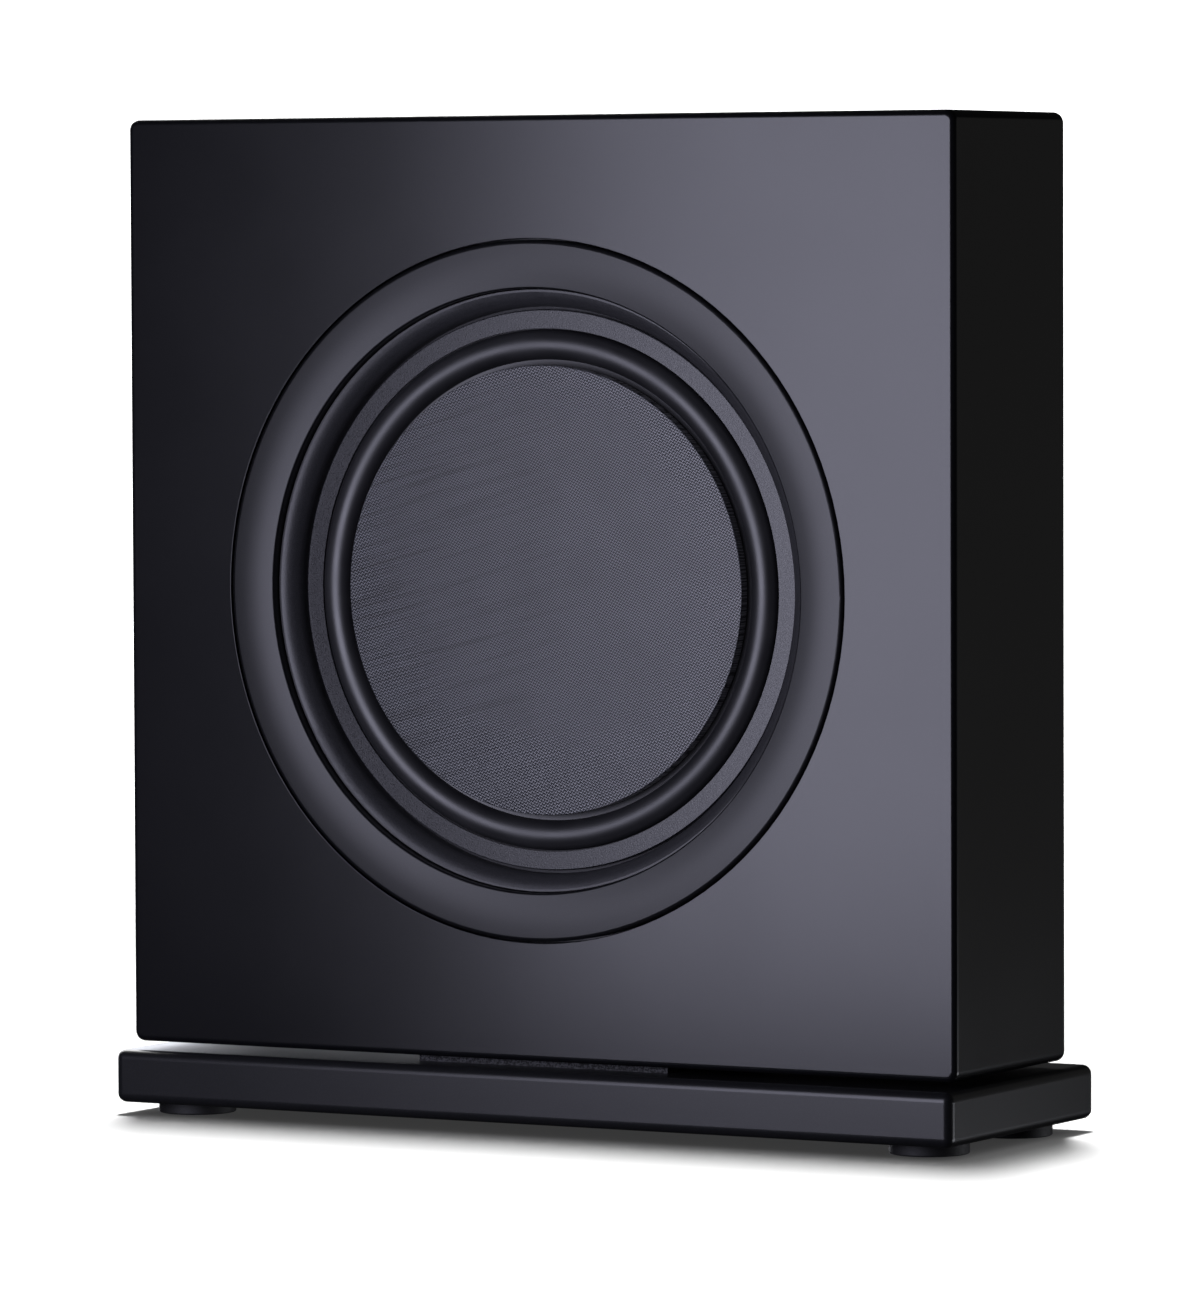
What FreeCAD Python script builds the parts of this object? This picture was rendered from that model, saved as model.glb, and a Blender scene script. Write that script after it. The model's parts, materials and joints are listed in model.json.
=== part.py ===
# Slim powered subwoofer: a closed, lacquered box on a low plinth with four rubber feet.
# Millimetres. +Z is up, the front faces -Y, the origin is on the floor under the plinth's middle.
import FreeCAD, Part
import math
import os

V = FreeCAD.Vector
EDGE_MATCH = 0.05
NEARLY_PARALLEL = 0.9
CUT_OVERRUN = 1.0
HOLE_PLAY = 0.15
SCREW_PLAY = 0.3
PILOT_END_WALL = 1.0

# ---- overall sizes -------------------------------------------------------------------------
CABINET_WIDTH = 400.0
CABINET_HEIGHT = 400.0
CABINET_DEPTH = 104.0
CABINET_CORNER_R = 4.5
CABINET_EDGE_R = 2.6
PLINTH_WIDTH = 406.0
PLINTH_DEPTH = 136.0
PLINTH_THICKNESS = 23.0
PLINTH_EDGE_R = 4.0
PLINTH_FRONT_OVERHANG = 11.0
FOOT_HEIGHT = 5.5
SPACER_THICKNESS = 3.0

# ---- levels and planes that follow from them -----------------------------------------------
FRONT_Y = PLINTH_FRONT_OVERHANG - PLINTH_DEPTH / 2
BACK_Y = FRONT_Y + CABINET_DEPTH
PLINTH_TOP = FOOT_HEIGHT + PLINTH_THICKNESS
CABINET_BOTTOM = PLINTH_TOP + SPACER_THICKNESS
CABINET_TOP = CABINET_BOTTOM + CABINET_HEIGHT
DRIVER_DROP = 0.9
DRIVER_Z = CABINET_BOTTOM + CABINET_HEIGHT / 2 - DRIVER_DROP
HALF_W = CABINET_WIDTH / 2

# ---- boards --------------------------------------------------------------------------------
BAFFLE_T = 30.0
WALL_T = 16.0
REAR_T = 15.0
BRACE_T = 15.0
BRACE_X = 142.0
BRACE_END_GAP = 40.0
BRACE_WINDOW_R = 14.0
BRACE_WINDOW_PITCH = 56.0
BRACE_WINDOWS = 5
WADDING_T = 10.0
WADDING_INSET = 3.0
REAR_INNER_Y = BACK_Y - REAR_T
BAFFLE_REAR_Y = FRONT_Y + BAFFLE_T

# ---- trim ring round the driver (radii, and depths behind the front face) ------------------
TRIM_OUTER_R = 148.3
TRIM_INNER_R = 127.8
TRIM_GROOVE = 0.6
TRIM_SEAT_DEPTH = 9.0
TRIM_PROUD = 0.3
TRIM_FALL = 0.85
TRIM_CROWN_RISE = 0.15
TRIM_OUTER_ROUND = 1.8
TRIM_INNER_ROUND = 0.9
FACE_ARRIS = 0.3

# ---- driver front --------------------------------------------------------------------------
FLANGE_R = 127.0
FLANGE_FRONT = 17.2
FLANGE_T = 3.3
FRAME_GASKET_T = 1.0
BEZEL_OUTER_R = 127.3
BEZEL_INNER_R = 120.2
BEZEL_LIP_DEPTH = 4.8
BEZEL_LIP_WIDTH = 0.9
BEZEL_TOE_DEPTH = 14.4
BEZEL_HEAD_ROOM = 0.5
QUARTER_TURN_MID = math.sqrt(0.5)
CLAMP_OUTER_R = 118.9
CLAMP_INNER_R = 111.0
CLAMP_DEPTH = 14.0
CLAMP_SOFTENING = 0.5
SURROUND_T = 0.8
SURROUND_LIP_R = 118.3
SURROUND_FOOT_R = 89.4
ROLL_OUTER_R = 110.6
ROLL_INNER_R = 97.6
ROLL_RISE = 6.4
CONE_R = 95.3
CONE_FACE_DEPTH = 10.4
CONE_SKIN_T = 0.4
CONE_BACK_DEPTH = 15.2
CONE_EDGE_SOFTENING = 0.35
CONE_FOOT_STEP = 0.4
SCREW_CIRCLE_R = 123.2
DRIVER_SCREW_COUNT = 8
DRIVER_SCREW_LENGTH = 10.8

# ---- driver frame, suspension and motor ----------------------------------------------------
BASKET_MOUTH_R = 112.0
BASKET_WAIST_R = 66.0
BASKET_WAIST_DEPTH = 50.0
BASKET_SEAT_DEPTH = 59.0
BASKET_WALL = 2.5
BASKET_WINDOWS = 6
BASKET_WINDOW_W = 52.0
BASKET_WINDOW_START = 25.5
BASKET_WINDOW_END = 46.5
BASKET_WINDOW_INNER_R = 51.0
BASKET_WINDOW_OUTER_R = 122.0
FLANGE_LIP = 1.0
GASKET_SETBACK = 1.0
LEDGE_CORNER = 1.0
LEDGE_INNER_R = 58.0
LEDGE_T = 2.0
TOP_PLATE_DEPTH = 62.0
TOP_PLATE_T = 6.0
MAGNET_T = 12.0
YOKE_T = 6.0
PLATE_R = 48.0
MAGNET_R = 51.0
MAGNET_BORE_R = 33.0
POLE_R = 24.4
POLE_VENT_R = 8.0
POLE_FRONT_DEPTH = 61.0
GAP_OUTER_R = 27.2
FORMER_INNER_R = 25.0
FORMER_WALL = 0.4
FORMER_FRONT = 38.0
FORMER_BACK = 70.8
COIL_R = 26.6
COIL_FRONT = 59.5
COIL_BACK = 70.4
COUPLER_RIM_R = 88.0
COUPLER_T = 0.9
COUPLER_RIM_WIDTH = 4.0
COUPLER_NECK_DEPTH = 40.0
COUPLER_NECK_LEAD = 1.0
COUPLER_COLLAR = 3.0
SPIDER_DEPTH = 47.2
SPIDER_T = 0.7
SPIDER_OUTER_R = 62.5
SPIDER_FLAT = 5.0
SPIDER_WAVES = 4
SPIDER_WAVE_HEIGHT = 1.5
SPIDER_STEPS = 8
MOTOR_SCREW_CIRCLE_R = 40.0
MOTOR_SCREW_COUNT = 4
MOTOR_SCREW_R = 2.0
MOTOR_SCREW_HEAD_R = 3.6
MOTOR_SCREW_END_GAP = 1.0
TERMINAL_LENGTH = 13.0
TERMINAL_HEIGHT = 16.0
TERMINAL_ROOT = 4.0
TERMINAL_FRONT_DEPTH = 46.0
TERMINAL_BACK_DEPTH = 58.0
LEAD_R = 0.7
LEAD_SPREAD = 5.0
LEAD_DEPTH = 43.0
CABLE_R = 1.5
CABLE_HALF_PITCH = 2.5
CABLE_START_DEPTH = 55.0
CABLE_BEND_RISE = 12.0
CABLE_ENTRY_RISE = 2.0
CABLE_TAIL = 10.0
CABLE_TO_BOARD = 12.0

# ---- rear amplifier ------------------------------------------------------------------------
PLATE_HALF_W = 120.0
PLATE_BOTTOM = 50.0
PLATE_TOP = 156.0
PLATE_T = 2.5
PLATE_CORNER_R = 5.0
OPENING_MARGIN = 9.0
COVER_GAP = 1.0
COVER_T = 1.0
COVER_FRONT_Y = -8.0
PLATE_SCREW_INSET = 4.8
PLATE_SCREW_COLUMNS = 4
PLATE_SCREW_LENGTH = 14.5
PLATE_SEAL_T = 1.0
FIN_COUNT = 11
FIN_T = 1.8
FIN_PITCH = 6.6
FIN_HEIGHT = 78.0
FIN_REACH = 9.5
FIN_BASE_T = 3.0
FIN_CENTRE_X = -6.0
BOARD_Y = 1.0
BOARD_T = 1.6
BOARD_MARGIN = 6.0
BOARD_POST_R = 3.0
TRANSFORMER_X = -36.0
TRANSFORMER_RISE = 26.0
CORE_HALF_W = 22.0
CORE_HALF_H = 20.0
CORE_STANDOFF = 5.0
CORE_T = 18.0
WINDING_HALF_W = 16.0
WINDING_HALF_H = 12.0
WINDING_T = 28.0
CAPACITOR_R = 11.0
CAPACITOR_LENGTH = 27.0
CAPACITOR_ROUND = 1.0
CAPACITOR_X = 20.0
CAPACITOR_PITCH = 28.0
CAPACITOR_RISE = 22.0
CONTROL_X = 78.0
KNOB_SPACING = 34.0
KNOB_ROW_Z = 134.0
JACK_ROW_Z = 74.0
JACK_SPACING = 18.0
PHASE_Z = 104.0
INLET_X = -84.0
INLET_Z = 80.0
POWER_Z = 126.0
KNOB_R = 8.0
KNOB_LENGTH = 9.5
KNOB_GAP = 0.7
KNOB_FLUTES = 18
KNOB_FLUTE_R = 0.7
KNOB_FLUTE_OFFSET = 0.2
KNOB_SKIRT = 2.0
KNOB_CAP_T = 2.0
KNOB_SOFTENING = 0.8
POINTER_WIDTH = 1.2
POINTER_DEPTH = 0.6
POINTER_START_R = 2.0
SHAFT_R = 3.0
SHAFT_FIT = 0.05
SHAFT_END_GAP = 0.4
BUSH_R = 3.9
POT_SIZE = 16.0
POT_DEPTH = 10.0
POT_END_WALL = 2.0
ROCKER_ANGLE = 9.0
ROCKER_CLEARANCE = 0.4
ROCKER_VALLEY = 1.6
ROCKER_FLOOR = 4.0
POWER_ROCKER_R = 8.1
POWER_ROCKER_HALF_W = 5.0
PHASE_ROCKER_R = 5.6
PHASE_ROCKER_HALF_W = 3.4
SWITCH_BEZEL = 1.5
SWITCH_RIM = 1.6
SWITCH_WALL = 1.0
SWITCH_BODY_DEPTH = 14.0
JACK_R = 4.15
JACK_BORE_R = 1.75
JACK_REACH = 9.0
JACK_RING_R = 6.0
JACK_RING_T = 1.6
JACK_TAIL = 8.0
INLET_HALF_W = 13.7
INLET_HALF_H = 9.9
INLET_FLANGE_RIM = 2.3
INLET_FLANGE_T = 2.0
INLET_WALL = 1.6
INLET_RECESS = 16.5
INLET_BACK_T = 2.0
INLET_KEY_CHAMFER = 4.0
PIN_THICKNESS = 2.0
PIN_HEIGHT = 4.0
PIN_PITCH = 7.0
PIN_TIP_RECESS = 5.2
PIN_TAIL = 6.0

# ---- base ----------------------------------------------------------------------------------
SPACER_WIDTH = 121.0
SPACER_SETBACK = 8.0
FOOT_R = 16.8
FOOT_SIDE_INSET = 24.3
FOOT_END_INSET = 29.0
FOOT_SOFTENING = 0.8
FOOT_WELL_R = 6.5
FOOT_WELL_DEPTH = 2.2
FOOT_SCREW_HEAD_R = 3.6
FOOT_SCREW_REACH = 12.0
SMALL_SCREW_R = 1.7
SMALL_HEAD_R = 2.6
SMALL_HEAD_T = 1.6
DRIVE_R = 1.1
DRIVE_DEPTH = 0.9
BOLT_R = 3.0
BOLT_HEAD_R = 6.0
BOLT_HEAD_T = 3.5
BOLT_SINK = 1.0
BOLT_REACH = 10.0
BOLT_DRIVE_R = 2.0
BOLT_DRIVE_DEPTH = 2.0
BOLT_WELL_PLAY = 0.5
BOLT_X = 40.0
BOLT_Y = 32.0
INSERT_R = 4.6
INSERT_T = 12.0

PLATE_BACK_Y = BACK_Y + PLATE_SEAL_T + PLATE_T
COVER_BOTTOM = PLATE_BOTTOM + OPENING_MARGIN + COVER_GAP
COVER_TOP = PLATE_TOP - OPENING_MARGIN - COVER_GAP
COVER_HALF_W = PLATE_HALF_W - OPENING_MARGIN - COVER_GAP
CABLE_X = -(BASKET_WAIST_R + TERMINAL_LENGTH / 2)
CABLE_ENTRY_Y = BOARD_Y + CABLE_TO_BOARD


# ---- building blocks -----------------------------------------------------------------------
def box(x0, x1, y0, y1, z0, z1):
    """Block between two opposite corners."""
    return Part.makeBox(x1 - x0, y1 - y0, z1 - z0, V(x0, y0, z0))


def rod(radius, start, end):
    """Round bar from one point to another."""
    run = end - start
    return Part.makeCylinder(radius, run.Length, start, run)


def on_driver(radius, depth):
    """Point at a radius from the driver's axis and a depth behind the front face."""
    return V(radius, FRONT_Y + depth, DRIVER_Z)


def around_driver(face):
    """Turn a half section once round the driver's axis."""
    return face.revolve(V(0, 0, DRIVER_Z), V(0, 1, 0), 360)


def lathe(section):
    """Solid of revolution from (radius, depth) corners."""
    corners = [on_driver(radius, depth) for radius, depth in section]
    return around_driver(Part.Face(Part.makePolygon(corners + corners[:1])))


def washer(inner, outer, front, back):
    """Flat ring about the driver's axis, or a disc when inner is zero."""
    return lathe([(inner, front), (outer, front), (outer, back), (inner, back)])


def spots_on_driver(radius, count, turn=0.5):
    """Evenly spaced (x, z) positions on a circle about the driver's axis."""
    spots = []
    for i in range(count):
        angle = 2 * math.pi * (i + turn) / count
        spots.append((radius * math.cos(angle), DRIVER_Z + radius * math.sin(angle)))
    return spots


def soften(shape, radius, wanted):
    """Round the edges that the test function picks."""
    return shape.makeFillet(radius, [edge for edge in shape.Edges if wanted(edge)])


def along_y(edge):
    """Test for straight edges that run from front to back."""
    return abs(edge.tangentAt(edge.FirstParameter).y) > NEARLY_PARALLEL


def ring_edge(radius, depth_limit):
    """Test for circular edges of one radius that lie in front of a depth."""
    def wanted(edge):
        extent = edge.BoundBox
        whole = extent.YLength < EDGE_MATCH and abs(extent.XLength - 2 * radius) < EDGE_MATCH
        return whole and extent.YMax < FRONT_Y + depth_limit
    return wanted


def screw_along_y(x, z, under_head, outward, length):
    """Pan-head screw along Y with a round drive recess; outward is the side its head shows on."""
    top = under_head + outward * SMALL_HEAD_T
    head = rod(SMALL_HEAD_R, V(x, under_head, z), V(x, top, z))
    shank = rod(SMALL_SCREW_R, V(x, under_head, z), V(x, under_head - outward * length, z))
    drive = rod(DRIVE_R, V(x, top, z), V(x, top - outward * DRIVE_DEPTH, z))
    return head.fuse(shank).cut(drive)


# ---- cabinet boards ------------------------------------------------------------------------
def cabinet_block():
    """The closed outer form, every outer edge rounded."""
    block = box(-HALF_W, HALF_W, FRONT_Y, BACK_Y, CABINET_BOTTOM, CABINET_TOP)
    block = soften(block, CABINET_CORNER_R, along_y)
    return soften(block, CABINET_EDGE_R, lambda edge: not along_y(edge))


def front_baffle(block):
    """Thick front board with stepped seats for the trim ring and the driver."""
    board = block.common(box(-HALF_W, HALF_W, FRONT_Y, BAFFLE_REAR_Y, CABINET_BOTTOM, CABINET_TOP))
    gasket_seat = FLANGE_FRONT + FLANGE_T + FRAME_GASKET_T
    board = board.cut(washer(0, TRIM_OUTER_R + TRIM_GROOVE, -CUT_OVERRUN, TRIM_SEAT_DEPTH))
    board = board.cut(washer(0, TRIM_INNER_R, 0, gasket_seat))
    board = board.cut(washer(0, BASKET_MOUTH_R + BASKET_WALL, 0, BAFFLE_T))
    board = soften(board, FACE_ARRIS, ring_edge(TRIM_OUTER_R + TRIM_GROOVE, FACE_ARRIS))
    for x, z in spots_on_driver(SCREW_CIRCLE_R, DRIVER_SCREW_COUNT):
        board = board.cut(rod(SMALL_SCREW_R, V(x, FRONT_Y, z), V(x, BAFFLE_REAR_Y - PILOT_END_WALL, z)))
    return board


def wall_panels(block):
    """Top, bottom and side boards behind the baffle."""
    low, high = CABINET_BOTTOM + WALL_T, CABINET_TOP - WALL_T
    bottom = block.common(box(-HALF_W, HALF_W, BAFFLE_REAR_Y, BACK_Y, CABINET_BOTTOM, low))
    for x, y in bolt_spots():
        bottom = bottom.cut(rod(INSERT_R, V(x, y, CABINET_BOTTOM), V(x, y, CABINET_BOTTOM + INSERT_T)))
    return {
        "top_panel": block.common(box(-HALF_W, HALF_W, BAFFLE_REAR_Y, BACK_Y, high, CABINET_TOP)),
        "bottom_panel": bottom,
        "left_panel": block.common(box(-HALF_W, WALL_T - HALF_W, BAFFLE_REAR_Y, BACK_Y, low, high)),
        "right_panel": block.common(box(HALF_W - WALL_T, HALF_W, BAFFLE_REAR_Y, BACK_Y, low, high)),
    }


def rear_panel():
    """Rear board let in between the walls, cut out for the amplifier."""
    inner = HALF_W - WALL_T
    board = box(-inner, inner, REAR_INNER_Y, BACK_Y, CABINET_BOTTOM + WALL_T, CABINET_TOP - WALL_T)
    half = PLATE_HALF_W - OPENING_MARGIN
    board = board.cut(box(-half, half, REAR_INNER_Y, BACK_Y,
                          PLATE_BOTTOM + OPENING_MARGIN, PLATE_TOP - OPENING_MARGIN))
    for x, z in plate_screw_spots():
        board = board.cut(rod(SMALL_SCREW_R, V(x, BACK_Y, z), V(x, REAR_INNER_Y + PILOT_END_WALL, z)))
    return board


def cabinet_braces():
    """Two upright braces between baffle and rear board, pierced to let air pass."""
    braces = []
    for x in (-BRACE_X, BRACE_X):
        brace = box(x - BRACE_T / 2, x + BRACE_T / 2, BAFFLE_REAR_Y, REAR_INNER_Y,
                    CABINET_BOTTOM + WALL_T + BRACE_END_GAP, CABINET_TOP - WALL_T - BRACE_END_GAP)
        middle_y = (BAFFLE_REAR_Y + REAR_INNER_Y) / 2
        for i in range(BRACE_WINDOWS):
            z = DRIVER_Z + (i - (BRACE_WINDOWS - 1) / 2) * BRACE_WINDOW_PITCH
            brace = brace.cut(rod(BRACE_WINDOW_R, V(x - BRACE_T, middle_y, z), V(x + BRACE_T, middle_y, z)))
        braces.append(brace)
    return Part.makeCompound(braces)


def damping_wadding():
    """Soft lining pads on the top and side walls."""
    inner = HALF_W - WALL_T
    y0, y1 = BAFFLE_REAR_Y + WADDING_INSET, REAR_INNER_Y - WADDING_INSET
    low, high = CABINET_BOTTOM + WALL_T + WADDING_INSET, CABINET_TOP - WALL_T
    pads = [
        box(-inner + WADDING_T + WADDING_INSET, inner - WADDING_T - WADDING_INSET, y0, y1,
            high - WADDING_T, high),
        box(-inner, -inner + WADDING_T, y0, y1, low, high),
        box(inner - WADDING_T, inner, y0, y1, low, high),
    ]
    rounded = []
    for pad in pads:
        rounded.append(pad.makeFillet(WADDING_INSET, pad.Edges))
    return Part.makeCompound(rounded)


# ---- trim ring and driver front ------------------------------------------------------------
def trim_ring():
    """Slightly domed ring pressed into the baffle round the driver."""
    outer = on_driver(TRIM_OUTER_R, -TRIM_PROUD)
    inner = on_driver(TRIM_INNER_R, TRIM_FALL - TRIM_PROUD)
    crown = on_driver((TRIM_OUTER_R + TRIM_INNER_R) / 2, -TRIM_CROWN_RISE - TRIM_PROUD)
    outer_foot = on_driver(TRIM_OUTER_R, TRIM_SEAT_DEPTH)
    inner_foot = on_driver(TRIM_INNER_R, TRIM_SEAT_DEPTH)
    edges = [
        Part.Arc(outer, crown, inner).toShape(),
        Part.LineSegment(inner, inner_foot).toShape(),
        Part.LineSegment(inner_foot, outer_foot).toShape(),
        Part.LineSegment(outer_foot, outer).toShape(),
    ]
    ring = around_driver(Part.Face(Part.Wire(edges)))
    ring = soften(ring, TRIM_OUTER_ROUND, ring_edge(TRIM_OUTER_R, TRIM_SEAT_DEPTH / 2))
    return soften(ring, TRIM_INNER_ROUND, ring_edge(TRIM_INNER_R, TRIM_SEAT_DEPTH / 2))


def bezel_ring():
    """Moulded ring, rounded over like a bull-nose, that hides the driver's flange and screws."""
    lip = on_driver(BEZEL_OUTER_R - BEZEL_LIP_WIDTH, BEZEL_LIP_DEPTH)
    toe = on_driver(BEZEL_INNER_R, BEZEL_TOE_DEPTH)
    width = lip.x - toe.x
    drop = BEZEL_TOE_DEPTH - BEZEL_LIP_DEPTH
    shoulder = on_driver(lip.x - width * QUARTER_TURN_MID, BEZEL_TOE_DEPTH - drop * QUARTER_TURN_MID)
    outer_lip = on_driver(BEZEL_OUTER_R, BEZEL_LIP_DEPTH)
    outer_foot = on_driver(BEZEL_OUTER_R, FLANGE_FRONT)
    inner_foot = on_driver(BEZEL_INNER_R, FLANGE_FRONT)
    edges = [
        Part.LineSegment(outer_lip, lip).toShape(),
        Part.Arc(lip, shoulder, toe).toShape(),
        Part.LineSegment(toe, inner_foot).toShape(),
        Part.LineSegment(inner_foot, outer_foot).toShape(),
        Part.LineSegment(outer_foot, outer_lip).toShape(),
    ]
    ring = around_driver(Part.Face(Part.Wire(edges)))
    seat = FRONT_Y + FLANGE_FRONT
    for x, z in spots_on_driver(SCREW_CIRCLE_R, DRIVER_SCREW_COUNT):
        pocket_end = seat - SMALL_HEAD_T - BEZEL_HEAD_ROOM
        ring = ring.cut(rod(SMALL_HEAD_R + SCREW_PLAY, V(x, seat, z), V(x, pocket_end, z)))
    return ring


def clamp_ring():
    """Flat ring that clamps the surround's lip to the frame."""
    back = FLANGE_FRONT - SURROUND_T
    ring = washer(CLAMP_INNER_R, CLAMP_OUTER_R, CLAMP_DEPTH, back)
    return soften(ring, CLAMP_SOFTENING, ring_edge(CLAMP_OUTER_R, CLAMP_DEPTH + CLAMP_SOFTENING))


def surround():
    """Half-roll rubber edge with a flat lip at each side."""
    lip_back = FLANGE_FRONT
    lip_front = lip_back - SURROUND_T
    middle_r = (ROLL_OUTER_R + ROLL_INNER_R) / 2
    half = (ROLL_OUTER_R - ROLL_INNER_R) / 2

    def roll(spread, rise, level):
        """One side of the roll, as two arcs meeting at the crest."""
        outer = on_driver(middle_r + spread, level)
        crest = on_driver(middle_r, level - rise)
        inner = on_driver(middle_r - spread, level)
        outer_mid = on_driver(middle_r + spread * QUARTER_TURN_MID, level - rise * QUARTER_TURN_MID)
        inner_mid = on_driver(middle_r - spread * QUARTER_TURN_MID, level - rise * QUARTER_TURN_MID)
        return outer, inner, [Part.Arc(outer, outer_mid, crest).toShape(),
                              Part.Arc(crest, inner_mid, inner).toShape()]

    outer_front, inner_front, front_arcs = roll(half, ROLL_RISE, lip_front)
    outer_back, inner_back, back_arcs = roll(half - SURROUND_T, ROLL_RISE - SURROUND_T, lip_back - SURROUND_T)
    lip_edge = [on_driver(SURROUND_LIP_R, depth) for depth in (lip_front, lip_back)]
    foot_edge = [on_driver(SURROUND_FOOT_R, depth) for depth in (lip_front, lip_back)]
    under_outer = on_driver(outer_back.x, lip_back)
    under_inner = on_driver(inner_back.x, lip_back)
    lines = [
        (lip_edge[0], outer_front), (lip_edge[1], lip_edge[0]), (under_outer, lip_edge[1]),
        (outer_back, under_outer), (inner_back, under_inner), (under_inner, foot_edge[1]),
        (foot_edge[1], foot_edge[0]), (foot_edge[0], inner_front),
    ]
    edges = front_arcs + back_arcs + [Part.LineSegment(a, b).toShape() for a, b in lines]
    return around_driver(Part.Face(Part.Wire(Part.__sortEdges__(edges))))


def cone_parts():
    """Flat piston: woven skin over a stiff core, and the paper coupler behind it."""
    skin = washer(0, CONE_R, CONE_FACE_DEPTH, CONE_BACK_DEPTH)
    skin = soften(skin, CONE_EDGE_SOFTENING, ring_edge(CONE_R, CONE_FACE_DEPTH + CONE_EDGE_SOFTENING))
    core_r = CONE_R - CONE_SKIN_T
    core = washer(0, core_r, CONE_FACE_DEPTH + CONE_SKIN_T, CONE_BACK_DEPTH)
    skin = skin.cut(core)
    spacer_back = FLANGE_FRONT - SURROUND_T
    foot_ring = washer(SURROUND_FOOT_R, core_r - CONE_FOOT_STEP, CONE_BACK_DEPTH, spacer_back)
    core = core.fuse(foot_ring).removeSplitter()
    neck_r = FORMER_INNER_R + FORMER_WALL
    coupler = lathe([
        (COUPLER_RIM_R - COUPLER_RIM_WIDTH, CONE_BACK_DEPTH), (COUPLER_RIM_R, CONE_BACK_DEPTH),
        (neck_r + COUPLER_T, COUPLER_NECK_DEPTH), (neck_r + COUPLER_T, COUPLER_NECK_DEPTH + COUPLER_COLLAR),
        (neck_r, COUPLER_NECK_DEPTH + COUPLER_COLLAR), (neck_r, COUPLER_NECK_DEPTH - COUPLER_NECK_LEAD),
    ])
    return {"cone_skin": skin, "cone_core": core, "cone_coupler": coupler}


# ---- driver frame and motor ----------------------------------------------------------------
def driver_frame():
    """Cast basket: flange, windowed wall, spider ledge and motor seat."""
    back = FLANGE_FRONT + FLANGE_T
    lip_r = CLAMP_INNER_R - FLANGE_LIP
    waist_in = BASKET_WAIST_R - BASKET_WALL
    ledge_front = SPIDER_DEPTH + SPIDER_T
    frame = lathe([
        (lip_r, FLANGE_FRONT), (FLANGE_R, FLANGE_FRONT), (FLANGE_R, back),
        (BASKET_MOUTH_R + BASKET_WALL, back), (BASKET_MOUTH_R, back + BASKET_WALL),
        (BASKET_WAIST_R, BASKET_WAIST_DEPTH), (BASKET_WAIST_R, TOP_PLATE_DEPTH),
        (MAGNET_BORE_R, TOP_PLATE_DEPTH), (MAGNET_BORE_R, BASKET_SEAT_DEPTH), (waist_in, BASKET_SEAT_DEPTH),
        (waist_in, ledge_front + LEDGE_T), (LEDGE_INNER_R, ledge_front + LEDGE_T),
        (LEDGE_INNER_R, ledge_front), (waist_in + LEDGE_CORNER, ledge_front),
        (BASKET_MOUTH_R - BASKET_WALL, back + BASKET_WALL), (lip_r, back),
    ])
    window = box(BASKET_WINDOW_INNER_R, BASKET_WINDOW_OUTER_R,
                 FRONT_Y + BASKET_WINDOW_START, FRONT_Y + BASKET_WINDOW_END,
                 DRIVER_Z - BASKET_WINDOW_W / 2, DRIVER_Z + BASKET_WINDOW_W / 2)
    for i in range(BASKET_WINDOWS):
        opening = window.copy()
        opening.rotate(V(0, 0, DRIVER_Z), V(0, 1, 0), 360 * i / BASKET_WINDOWS)
        frame = frame.cut(opening)
    for x, z in spots_on_driver(SCREW_CIRCLE_R, DRIVER_SCREW_COUNT):
        hole_end = V(x, FRONT_Y + back + CUT_OVERRUN, z)
        frame = frame.cut(rod(SMALL_SCREW_R + SCREW_PLAY, V(x, FRONT_Y, z), hole_end))
    return frame.cut(motor_screws())


def frame_gasket():
    """Foam ring between frame flange and baffle."""
    front = FLANGE_FRONT + FLANGE_T
    ring = washer(BASKET_MOUTH_R + BASKET_WALL + GASKET_SETBACK, FLANGE_R, front, front + FRAME_GASKET_T)
    for x, z in spots_on_driver(SCREW_CIRCLE_R, DRIVER_SCREW_COUNT):
        ring = ring.cut(rod(SMALL_SCREW_R + SCREW_PLAY, V(x, FRONT_Y, z), V(x, FRONT_Y + BAFFLE_T, z)))
    return ring


def driver_screws():
    """Screws that hold the driver to the baffle."""
    seat = FRONT_Y + FLANGE_FRONT
    screws = []
    for x, z in spots_on_driver(SCREW_CIRCLE_R, DRIVER_SCREW_COUNT):
        screws.append(screw_along_y(x, z, seat, -1, DRIVER_SCREW_LENGTH))
    return Part.makeCompound(screws)


def motor_screws():
    """Countersunk screws from the basket seat into the top plate."""
    front = FRONT_Y + BASKET_SEAT_DEPTH
    depth = TOP_PLATE_DEPTH - BASKET_SEAT_DEPTH
    screws = []
    for x, z in spots_on_driver(MOTOR_SCREW_CIRCLE_R, MOTOR_SCREW_COUNT):
        tip = front + depth + TOP_PLATE_T - MOTOR_SCREW_END_GAP
        head = Part.makeCone(MOTOR_SCREW_HEAD_R, MOTOR_SCREW_R, depth, V(x, front, z), V(0, 1, 0))
        shank = rod(MOTOR_SCREW_R, V(x, front, z), V(x, tip, z))
        drive = rod(DRIVE_R, V(x, front, z), V(x, front + DRIVE_DEPTH, z))
        screws.append(head.fuse(shank).cut(drive))
    return Part.makeCompound(screws)


def spider():
    """Corrugated cloth disc that centres the voice coil."""
    inner = FORMER_INNER_R + FORMER_WALL
    start, end = inner + SPIDER_FLAT, SPIDER_OUTER_R - SPIDER_FLAT
    front_side = [(inner, SPIDER_DEPTH)]
    steps = SPIDER_WAVES * SPIDER_STEPS
    for i in range(steps + 1):
        radius = start + (end - start) * i / steps
        wave = SPIDER_WAVE_HEIGHT * math.sin(2 * math.pi * i / SPIDER_STEPS)
        front_side.append((radius, SPIDER_DEPTH - wave))
    front_side.append((SPIDER_OUTER_R, SPIDER_DEPTH))
    back_side = [(radius, depth + SPIDER_T) for radius, depth in reversed(front_side)]
    return lathe(front_side + back_side)


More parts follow.
